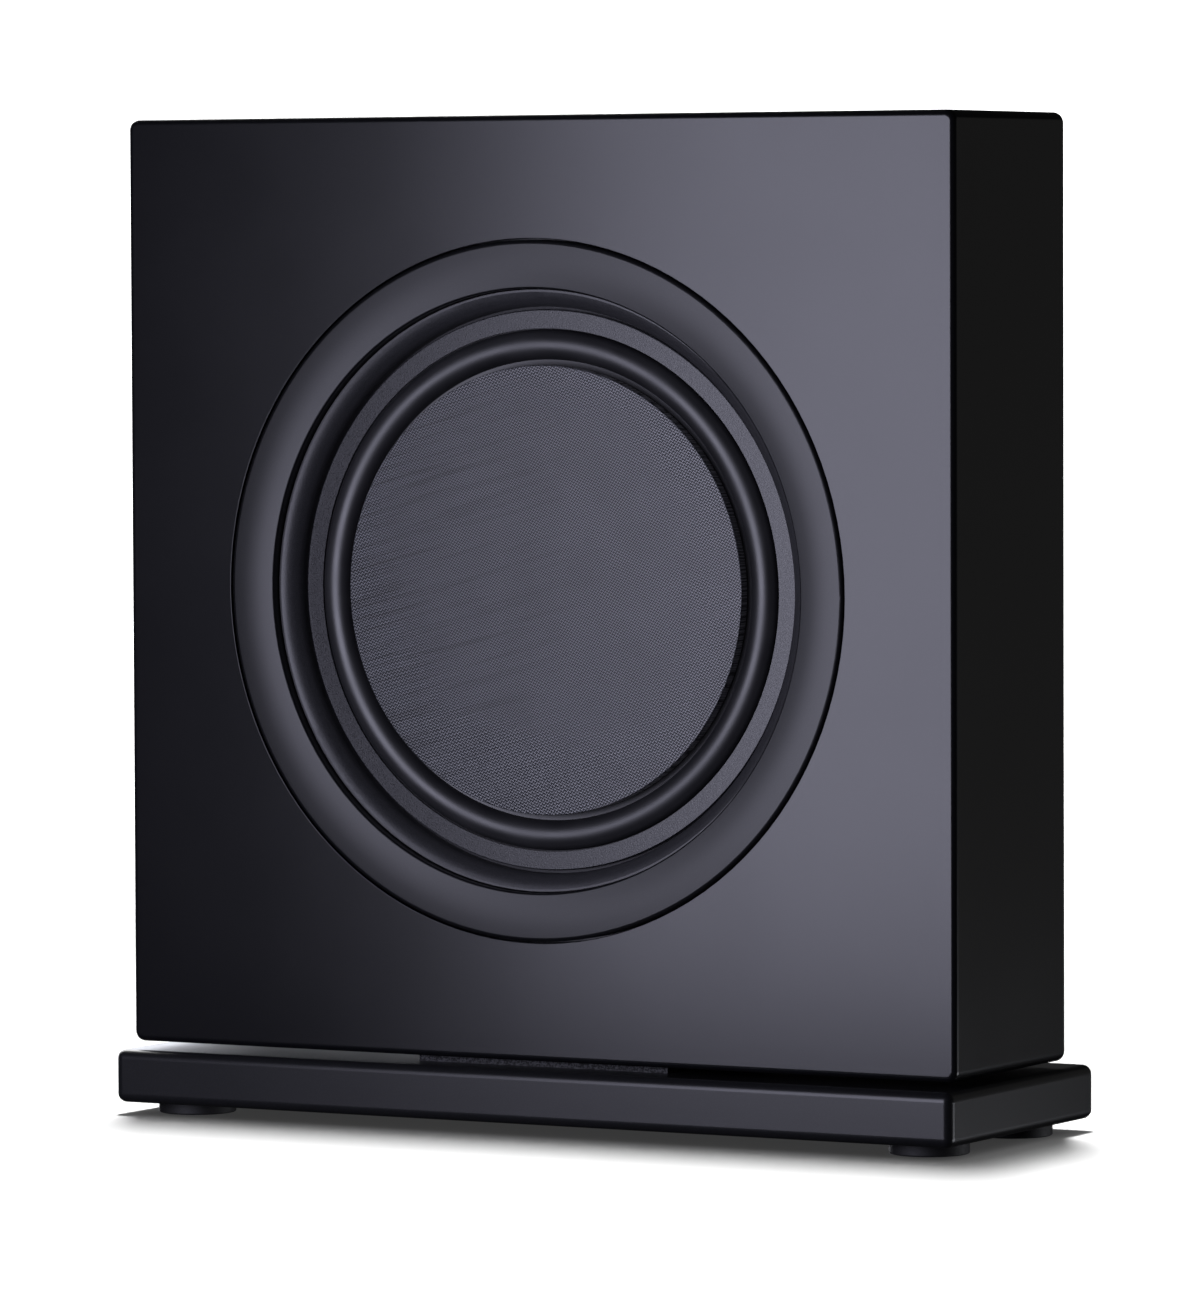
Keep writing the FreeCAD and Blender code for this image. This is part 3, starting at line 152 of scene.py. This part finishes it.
# ---- materials -----------------------------------------------------------------------------
def lacquer(name, colour, roughness):
    """Satin dark lacquer with a very fine orange-peel and a speck of metallic dust."""
    shader = Shader(name)
    cloud = shader.noise(9.0, 3.0)
    peel = shader.noise(650.0, 2.0)
    dust = shader.noise(2600.0, 1.0)
    dust_share = shader.spread(dust, 0.0, 1.0, 0.45, 0.75)
    drift, glint = 0.015, 2.2
    shader.set(
        Base_Color=shader.blend(dust_share, rgba(colour), rgba(colour, glint)),
        Roughness=shader.spread(cloud, roughness - drift, roughness + drift),
    )
    peel_depth, dust_depth, strength = 0.012 * MM, 0.006 * MM, 0.25
    under = shader.bump(peel, strength, peel_depth)
    shader.bump(dust, strength, dust_depth, under)
    return shader.material


def grained_plastic(name, colour, roughness, relief, sheen):
    """Moulded plastic with a sand-like grain."""
    shader = Shader(name)
    pits = shader.cells(1500.0)
    cloud = shader.noise(2200.0, 2.0)
    tone, drift = 0.6, 0.06
    darker, lighter = rgba(colour, tone), rgba(colour, 1 + tone)
    shader.set(
        Base_Color=shader.blend(shader.spread(cloud, 0.0, 1.0), darker, lighter),
        Roughness=shader.spread(cloud, roughness - drift, roughness + drift),
        Specular_IOR_Level=sheen,
    )
    under = shader.bump(pits, 0.6, relief * MM)
    shader.bump(cloud, 0.5, relief * MM, under)
    return shader.material


def surround_rubber():
    """Satin butyl rubber with faint mould bloom."""
    shader = Shader("surround_rubber")
    cloud = shader.noise(45.0, 4.0)
    fine = shader.noise(1800.0, 2.0)
    clean, bloomed = rgba((0.013, 0.013, 0.015)), rgba((0.019, 0.019, 0.021))
    shader.set(
        Base_Color=shader.blend(shader.spread(cloud, 0.0, 1.0), clean, bloomed),
        Roughness=shader.spread(cloud, 0.4, 0.47),
        Specular_IOR_Level=0.95,
    )
    shader.bump(fine, 0.35, 0.01 * MM)
    return shader.material


WEAVE_PITCH = 1.1 * MM
WARP_ANGLE = 56.0
WEFT_ANGLE = -24.0
STREAK_ANGLE = 15.0
STREAK_LENGTH = 1 / 14.0
STREAK_WIDTH = 1 / 420.0


def woven_cone():
    """Plain-weave cloth: two thread sets crossing over and under, with painted shade in the gaps between
    threads and uneven streaks that darken only the left side as painted shade.
    """
    shader = Shader("woven_cone")
    apart = shader.node("ShaderNodeSeparateXYZ")
    shader.join(shader.place, apart.inputs[0])
    x, z = apart.outputs["X"], apart.outputs["Z"]

    def across(angle_deg):
        """Distance across a thread set that runs at this angle, in threads."""
        angle = math.radians(angle_deg)
        shift = shader.math("MULTIPLY", x, -math.sin(angle) / WEAVE_PITCH)
        return shader.math("MULTIPLY_ADD", z, math.cos(angle) / WEAVE_PITCH, shift)

    wobble = shader.spread(shader.noise(60.0, 3.0), -0.35, 0.35, 0.2, 0.8)
    warp = shader.math("ADD", across(WARP_ANGLE), wobble)
    weft = shader.math("ADD", across(WEFT_ANGLE), wobble)
    warp_wave = shader.math("SINE", shader.math("MULTIPLY", warp, math.pi))
    weft_wave = shader.math("SINE", shader.math("MULTIPLY", weft, math.pi))
    over = shader.math("GREATER_THAN", shader.math("MULTIPLY", warp_wave, weft_wave), 0.0)
    warp_round = shader.math("ABSOLUTE", warp_wave)
    weft_round = shader.math("ABSOLUTE", weft_wave)
    difference = shader.math("SUBTRACT", warp_round, weft_round)
    height = shader.math("MULTIPLY_ADD", over, difference, weft_round)

    streak_place = shader.node("ShaderNodeMapping", vector_type="TEXTURE")
    streak_place.inputs["Rotation"].default_value = (0.0, math.radians(-STREAK_ANGLE), 0.0)
    streak_place.inputs["Scale"].default_value = (STREAK_LENGTH, 1.0, STREAK_WIDTH)
    shader.join(shader.place, streak_place.inputs["Vector"])
    streaks = shader.noise(1.0, 3.0, 0.6, streak_place.outputs[0])
    # Painted shade: the streaks darken the cloth only towards the left, fading out to the right.
    painted_left_shade = shader.spread(x, 1.0, 0.0, -0.08, 0.03)
    streaks_and_left_shade = shader.math("MULTIPLY", shader.spread(streaks, 0.0, 0.55, 0.48, 0.64), painted_left_shade)
    patch = shader.spread(shader.noise(38.0, 3.0), 0.85, 1.12)
    shade = shader.math("MULTIPLY", patch, shader.math("SUBTRACT", 1.0, streaks_and_left_shade))
    gap_top, thread_top = 0.3, 1.0
    lit = shader.math("MULTIPLY", shader.spread(height, 0.0, 1.0, gap_top, thread_top), shade)
    # The near-black colour between the threads is painted shade in the weave's gaps; the thread colour is the
    # cloth's own grey.
    gap_shade, thread = rgba((0.003, 0.003, 0.004)), rgba((0.088, 0.092, 0.105))
    shader.set(
        Base_Color=shader.blend(lit, gap_shade, thread),
        Roughness=shader.spread(height, 0.45, 0.28, gap_top, thread_top),
        Specular_IOR_Level=shader.spread(height, 0.2, 1.0, gap_top, thread_top),
    )
    shader.bump(height, 0.7, 0.12 * MM)
    return shader.material


def speckled_board():
    """Grey composite strip with light and dark specks."""
    shader = Shader("speckled_board")
    specks = shader.noise(1400.0, 2.0)
    speck_share = shader.spread(specks, 0.0, 1.0, 0.42, 0.62)
    dark, light = rgba((0.002, 0.002, 0.002)), rgba((0.09, 0.09, 0.096))
    shader.set(Base_Color=shader.blend(speck_share, dark, light), Roughness=0.8)
    shader.bump(specks, 0.5, 0.05 * MM)
    return shader.material


def brushed_metal(name, colour, roughness):
    """Metal with a lathe or brush grain drawn out along X."""
    shader = Shader(name)
    drawn = shader.node("ShaderNodeMapping")
    drawn.inputs["Scale"].default_value = (30.0, 900.0, 900.0)
    shader.join(shader.place, drawn.inputs["Vector"])
    lines = shader.noise(1.0, 4.0, 0.6, drawn.outputs[0])
    drift = 0.08
    shader.set(
        Base_Color=shader.blend(shader.spread(lines, 0.0, 1.0), rgba(colour, 0.85), rgba(colour, 1.1)),
        Roughness=shader.spread(lines, roughness - drift, roughness + drift),
        Metallic=1.0,
    )
    shader.bump(lines, 0.3, 0.01 * MM)
    return shader.material


def fibre_pad(name, colour, scale):
    """Loose or woven fibres seen from close by."""
    shader = Shader(name)
    strands = shader.noise(scale, 6.0, 0.7)
    shader.set(
        Base_Color=shader.blend(shader.spread(strands, 0.0, 1.0), rgba(colour, 0.6), rgba(colour, 1.1)),
        Roughness=0.95,
    )
    shader.bump(strands, 0.9, 0.6 * MM)
    return shader.material


def plain(name, *details, **more):
    return worn_surface(name, *details, **more).material


def make_materials():
    """The finish of every material slot in the record."""
    return {
        "lacquer": lacquer("lacquer", (0.0045, 0.0046, 0.0055), 0.22),
        "plinth_lacquer": lacquer("plinth_lacquer", (0.009, 0.0092, 0.0102), 0.3),
        "trim_lacquer": lacquer("trim_lacquer", (0.0045, 0.0046, 0.0054), 0.34),
        "grained_plastic": grained_plastic("grained_plastic", (0.028, 0.028, 0.031), 0.43, 0.05, 0.75),
        "ring_plastic": grained_plastic("ring_plastic", (0.012, 0.012, 0.015), 0.3, 0.03, 0.58),
        "surround_rubber": surround_rubber(),
        "foot_rubber": plain("foot_rubber", (0.012, 0.012, 0.012), 0.62, grain=1200.0, relief=0.03),
        "foam": plain("foam", (0.02, 0.02, 0.02), 0.9, grain=1600.0, relief=0.2),
        "woven_skin": woven_cone(),
        "core_foam": plain("core_foam", (0.7, 0.69, 0.65), 0.85, grain=1100.0, relief=0.15),
        "coupler_paper": fibre_pad("coupler_paper", (0.1, 0.1, 0.1), 900.0),
        "cast_frame": plain("cast_frame", (0.03, 0.03, 0.033), 0.5, grain=1500.0, relief=0.06),
        "zinc_steel": brushed_metal("zinc_steel", (0.55, 0.55, 0.56), 0.32),
        "black_screws": plain("black_screws", (0.03, 0.03, 0.03), 0.4, grain=1500.0, metallic=0.7),
        "spider_cloth": fibre_pad("spider_cloth", (0.55, 0.42, 0.17), 1300.0),
        "plated_steel": brushed_metal("plated_steel", (0.45, 0.45, 0.47), 0.38),
        "ferrite": plain("ferrite", (0.06, 0.06, 0.062), 0.7, grain=1400.0, relief=0.08),
        "coil_former": brushed_metal("coil_former", (0.75, 0.75, 0.76), 0.3),
        "copper_wire": brushed_metal("copper_wire", (0.7, 0.36, 0.17), 0.35),
        "terminal_plastic": plain("terminal_plastic", (0.03, 0.03, 0.03), 0.5),
        "wire_jacket": plain("wire_jacket", (0.2, 0.02, 0.02), 0.5),
        "raw_board": fibre_pad("raw_board", (0.42, 0.3, 0.18), 500.0),
        "wadding": fibre_pad("wadding", (0.8, 0.8, 0.78), 260.0),
        "plate_paint": plain("plate_paint", (0.018, 0.018, 0.019), 0.55, grain=1500.0, relief=0.07),
        "black_anodised": plain("black_anodised", (0.03, 0.03, 0.032), 0.38, grain=1300.0, metallic=0.8),
        "circuit_green": plain("circuit_green", (0.02, 0.14, 0.05), 0.3),
        "transformer_steel": brushed_metal("transformer_steel", (0.25, 0.25, 0.25), 0.5),
        "capacitor_sleeve": plain("capacitor_sleeve", (0.02, 0.02, 0.04), 0.28),
        "control_plastic": plain("control_plastic", (0.02, 0.02, 0.02), 0.48, grain=1600.0, relief=0.03),
        "housing_plastic": plain("housing_plastic", (0.016, 0.016, 0.016), 0.42, grain=1400.0, relief=0.02),
        "shaft_steel": brushed_metal("shaft_steel", (0.55, 0.55, 0.56), 0.3),
        "bright_metal": brushed_metal("bright_metal", (0.72, 0.7, 0.66), 0.2),
        "brass_insert": brushed_metal("brass_insert", (0.65, 0.47, 0.2), 0.3),
        "spacer_grey": speckled_board(),
    }


OWN_FINISH = {"plinth": "plinth_lacquer"}


def dress_cad(materials):
    """Give each CAD node the finish of its slot."""
    slot_of = {row["node"]: row["material_slot"] for row in frame["record"]["subparts"]}
    for node, piece in frame["nodes"].items():
        piece.data.materials.clear()
        piece.data.materials.append(materials[OWN_FINISH.get(node, slot_of[node])])


# ---- flexing rings of the driver -----------------------------------------------------------
SECTORS = 24
STEPS_PER_SECTOR = 8
FOLD_STEPS = 14
STEPS_PER_WAVE = 8


def arc(centre_r, centre_y, half_width, rise, steps):
    """Half-ellipse from the outer to the inner side, bulging to the front."""
    points = []
    for i in range(steps + 1):
        turn = math.pi * i / steps
        points.append((centre_r + half_width * math.cos(turn), centre_y - rise * math.sin(turn)))
    return points


def surround_section():
    """Closed section of the rubber edge as (radius, y), with its fold's outer and inner radius."""
    low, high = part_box("surround")
    outer, front, back = high.x, low.y, high.y
    thickness = 0.8 * MM
    clamp_inner = 110.6 * MM
    foot_outer = 97.6 * MM
    foot_inner = 89.4 * MM
    middle, half = (clamp_inner + foot_outer) / 2, (clamp_inner - foot_outer) / 2
    lip_front = back - thickness
    top = arc(middle, lip_front, half, lip_front - front, FOLD_STEPS)
    under = arc(middle, lip_front, half - thickness, lip_front - front - thickness, FOLD_STEPS)
    under = [(under[0][0], back)] + under + [(under[-1][0], back)]
    section = [(outer, lip_front)] + top + [(foot_inner, lip_front), (foot_inner, back)]
    return section + under[::-1] + [(outer, back)], clamp_inner, foot_outer


def spider_section():
    """Closed section of the corrugated spider as (radius, y), with its outer and inner radius."""
    low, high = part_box("spider")
    outer, inner = high.x, 25.4 * MM
    flat, waves, sheet = 5.0 * MM, 4, 0.7 * MM
    swing = (high.y - low.y - sheet) / 2
    middle = low.y + swing
    front = [(inner, middle)]
    steps = waves * STEPS_PER_WAVE
    for i in range(steps + 1):
        radius = inner + flat + (outer - inner - 2 * flat) * i / steps
        front.append((radius, middle - swing * math.sin(2 * math.pi * i * waves / steps)))
    front.append((outer, middle))
    back = [(radius, y + sheet) for radius, y in reversed(front)]
    return front[::-1] + back[::-1], outer - flat, inner + flat


def section_normals(section):
    """Outward direction at each corner of a closed section."""
    count = len(section)
    turned = []
    for i in range(count):
        before, after = section[i - 1], section[(i + 1) % count]
        along = Vector((after[0] - before[0], after[1] - before[1]))
        turned.append(Vector((along.y, -along.x)).normalized())
    area = sum(a[0] * b[1] - b[0] * a[1] for a, b in zip(section, section[1:] + section[:1]))
    return turned if area > 0 else [-n for n in turned]


def flexing_ring(name, section, outer, inner, material):
    """A soft ring between frame and cone, cut into sectors that are each a mesh of their own."""
    normals = section_normals(section)
    count = len(section)
    for sector in range(SECTORS):
        vertices, directions, faces = [], [], []
        for step in range(STEPS_PER_SECTOR + 1):
            angle = 2 * math.pi * (sector + step / STEPS_PER_SECTOR) / SECTORS
            for (radius, y), normal in zip(section, normals):
                cosine, sine = math.cos(angle), math.sin(angle)
                vertices.append((radius * cosine, y, DRIVER_Z + radius * sine))
                directions.append((normal.x * cosine, normal.y, normal.x * sine))
        for step in range(STEPS_PER_SECTOR):
            for i in range(count):
                a, b = step * count + i, step * count + (i + 1) % count
                faces.append((a, b, b + count, a + count))
        mesh = bpy.data.meshes.new(f"{name}_{sector:02d}")
        mesh.from_pydata(vertices, [], faces)
        mesh.shade_smooth()
        mesh.update()
        if mesh.polygons[0].normal.dot(Vector(directions[0])) < 0:
            mesh.flip_normals()
        mesh.normals_split_custom_set_from_vertices(directions)
        mesh.materials.append(material)
        piece = bpy.data.objects.new(f"{name}_{sector:02d}", mesh)
        bpy.context.scene.collection.objects.link(piece)
        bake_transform(piece)
        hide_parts(name)


# ---- flexible leads of the driver ----------------------------------------------------------
LEAD_SIDES = 10
LEAD_STEPS = 44
LEAD_TURN_STEPS = 10
LEAD_ROOM = 0.7 * MM
LEAD_BEND = 5.0 * MM
LEAD_SPREAD = 5.0 * MM
BRAID_RADIUS = 0.62 * MM
BRAID_RIPPLE = 0.05 * MM


def lead_path(low, high, z):
    """Centre line from the terminal block round one bend to the cone's neck, and where it starts to flex."""
    root = Vector((low.x + LEAD_ROOM, high.y, z))
    corner = Vector((root.x, low.y + 3 * LEAD_ROOM, z))
    along = Vector((root.x + LEAD_BEND, corner.y - 0.2 * MM, z))
    tip = Vector((high.x - LEAD_ROOM, low.y + 1.5 * LEAD_ROOM, z))
    path = []
    for i in range(LEAD_TURN_STEPS):
        t = i / LEAD_TURN_STEPS
        path.append(root * (1 - t) ** 2 + corner * 2 * t * (1 - t) + along * t ** 2)
    for i in range(LEAD_STEPS + 1):
        path.append(along.lerp(tip, i / LEAD_STEPS))
    return path, along


def flexing_leads(material):
    """Two braided leads between the frame's terminals and the cone."""
    low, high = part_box("tinsel_leads")
    for name, side in (("tinsel_lead_lower", -1), ("tinsel_lead_upper", 1)):
        path, free_from = lead_path(low, high, DRIVER_Z + side * LEAD_SPREAD)
        vertices, faces = [], []
        for i, middle in enumerate(path):
            along = (path[min(i + 1, len(path) - 1)] - path[max(i - 1, 0)]).normalized()
            across = Vector((-along.y, along.x, 0.0))
            for k in range(LEAD_SIDES):
                angle = 2 * math.pi * k / LEAD_SIDES
                radius = BRAID_RADIUS + BRAID_RIPPLE * math.cos(2 * angle + i)
                rise = Vector((0, 0, radius * math.sin(angle)))
                vertices.append(middle + across * radius * math.cos(angle) + rise)
        for i in range(len(path) - 1):
            for k in range(LEAD_SIDES):
                a, b = i * LEAD_SIDES + k, i * LEAD_SIDES + (k + 1) % LEAD_SIDES
                faces.append((a, b, b + LEAD_SIDES, a + LEAD_SIDES))
        faces.append(tuple(range(LEAD_SIDES))[::-1])
        faces.append(tuple(range(len(vertices) - LEAD_SIDES, len(vertices))))
        mesh = bpy.data.meshes.new(name)
        mesh.from_pydata(vertices, [], faces)
        mesh.shade_smooth()
        mesh.materials.append(material)
        piece = bpy.data.objects.new(name, mesh)
        bpy.context.scene.collection.objects.link(piece)
        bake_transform(piece)
        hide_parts("tinsel_leads")


# ---- light, floor and camera ---------------------------------------------------------------
def soft_box(name, place, facing, width, height, power, colour):
    """Rectangular soft light at a place, shining in a direction, unseen by the camera."""
    light = bpy.data.lights.new(name, "AREA")
    light.shape = "RECTANGLE"
    light.size, light.size_y = width, height
    light.energy = power
    light.color = colour
    lamp = bpy.data.objects.new(name, light)
    lamp.location = place
    lamp.rotation_mode = "QUATERNION"
    lamp.rotation_quaternion = (-Vector(facing)).to_track_quat("Z", "Y")
    lamp.visible_camera = False
    bpy.context.scene.collection.objects.link(lamp)
    return lamp


def light_group(name, piece, state):
    """Collection that keeps a light on one piece ("INCLUDE") or off it ("EXCLUDE")."""
    group = bpy.data.collections.new(name)
    group.objects.link(piece)
    group.collection_objects[0].light_linking.link_state = state
    return group


def make_lights(floor):
    """A broad key in front, softer lights behind, and an overhead light and a fill for the floor alone."""
    floor_only = light_group("floor_only", floor, "INCLUDE")
    all_but_floor = light_group("all_but_floor", floor, "EXCLUDE")
    cool = (0.9, 0.92, 1.0)
    lamps = [
        soft_box("key", place=(-0.2, -1.05, 0.27), facing=(0.0, 1.0, 0.0),
                 width=0.714, height=0.66, power=7.3, colour=(0.8, 0.795, 1.0)),
        soft_box("side glow", place=(0.75, 0.95, 0.3), facing=(-0.485, -0.875, 0.0),
                 width=0.9, height=0.8, power=0.13, colour=(1.0, 0.98, 0.95)),
        soft_box("rear key", place=(1.4, 1.08, -0.44), facing=(-0.66, -0.66, 0.3),
                 width=0.8, height=0.52, power=4.4, colour=cool),
        soft_box("rear left key", place=(-1.2, 1.2, 0.2), facing=(0.7, -0.7, 0.0),
                 width=0.9, height=0.9, power=8.0, colour=cool),
        soft_box("rear", place=(-1.5, 1.0, 1.4), facing=(0.69, -0.46, -0.56),
                 width=1.2, height=0.9, power=30.0, colour=WHITE),
    ]
    for lamp in lamps:
        lamp.light_linking.receiver_collection = all_but_floor
    overhead = soft_box("overhead", place=(-0.5, 0.895, 8.0), facing=(0.062, -0.111, -0.992),
                        width=0.6, height=1.54, power=900.0, colour=WHITE)
    overhead.light_linking.receiver_collection = floor_only
    fill = bpy.data.lights.new("floor fill", "SUN")
    fill.energy = 0.45
    fill.angle = math.radians(150.0)
    fill_lamp = bpy.data.objects.new("floor fill", fill)
    fill_lamp.light_linking.receiver_collection = floor_only
    bpy.context.scene.collection.objects.link(fill_lamp)
    world = bpy.data.worlds.new("studio")
    world.use_nodes = True
    background = world.node_tree.nodes["Background"]
    background.inputs["Color"].default_value = (0.5, 0.5, 0.52, 1.0)
    background.inputs["Strength"].default_value = 0.02
    bpy.context.scene.world = world


def make_floor():
    """Pale floor that sweeps up behind the object into a plain backdrop."""
    shader = Shader("studio_white")
    apart = shader.node("ShaderNodeSeparateXYZ")
    shader.join(shader.place, apart.inputs[0])
    glow_near, glow_far, glow_start, glow_end = 0.035, 1.3, 0.8, 2.5
    shader.set(
        Base_Color=shader.blend(shader.noise(3.0), rgba(WHITE, 0.86), rgba(WHITE, 0.88)),
        Roughness=1.0,
        Specular_IOR_Level=0.0,
        Emission_Color=rgba(WHITE),
        Emission_Strength=shader.spread(apart.outputs["Y"], glow_near, glow_far, glow_start, glow_end),
    )
    half_width, front, bend_start, bend_radius, top = 9.0, -7.0, 5.0, 1.5, 7.0
    bend_steps = 12
    profile = [(front, 0.0), (bend_start, 0.0)]
    for i in range(1, bend_steps + 1):
        turn = math.pi / 2 * i / bend_steps
        profile.append((bend_start + bend_radius * math.sin(turn), bend_radius * (1 - math.cos(turn))))
    profile.append((bend_start + bend_radius, top))
    vertices, faces = [], []
    for y, z in profile:
        vertices += [(-half_width, y, z), (half_width, y, z)]
    for i in range(len(profile) - 1):
        faces.append((2 * i, 2 * i + 1, 2 * i + 3, 2 * i + 2))
    mesh = bpy.data.meshes.new("studio_floor")
    mesh.from_pydata(vertices, [], faces)
    mesh.materials.append(shader.material)
    mesh.shade_smooth()
    floor = bpy.data.objects.new("studio_floor", mesh)
    bpy.context.scene.collection.objects.link(floor)
    floor.visible_glossy = False
    floor.visible_diffuse = False
    floor.visible_shadow = False
    return floor


def make_camera():
    """Long lens, a little above the driver and to the right of the front."""
    yaw, pitch, roll = math.radians(29.21), math.radians(2.865), math.radians(-0.226)
    distance = 3.416
    aim = Vector((0.0332, FACE_Y, CABINET_BOTTOM + 0.1751))
    level = math.cos(pitch)
    sight = Vector((-math.sin(yaw) * level, math.cos(yaw) * level, -math.sin(pitch)))
    lens = bpy.data.cameras.new("camera")
    lens.sensor_width = 36.0
    lens.lens = 225.14
    lens.clip_start, lens.clip_end = 0.1, 60.0
    camera = bpy.data.objects.new("camera", lens)
    camera.location = aim - sight * distance
    camera.rotation_mode = "QUATERNION"
    tilt = Matrix.Rotation(roll, 3, "Z").to_quaternion()
    camera.rotation_quaternion = sight.to_track_quat("-Z", "Y") @ tilt
    bpy.context.scene.collection.objects.link(camera)
    bpy.context.scene.camera = camera


# ---- build ---------------------------------------------------------------------------------
finishes = make_materials()
dress_cad(finishes)
flexing_ring("surround", *surround_section(), finishes["surround_rubber"])
flexing_ring("spider", *spider_section(), finishes["spider_cloth"])
flexing_leads(finishes["copper_wire"])
make_lights(make_floor())
make_camera()
bpy.context.scene.view_settings.view_transform = "Standard"
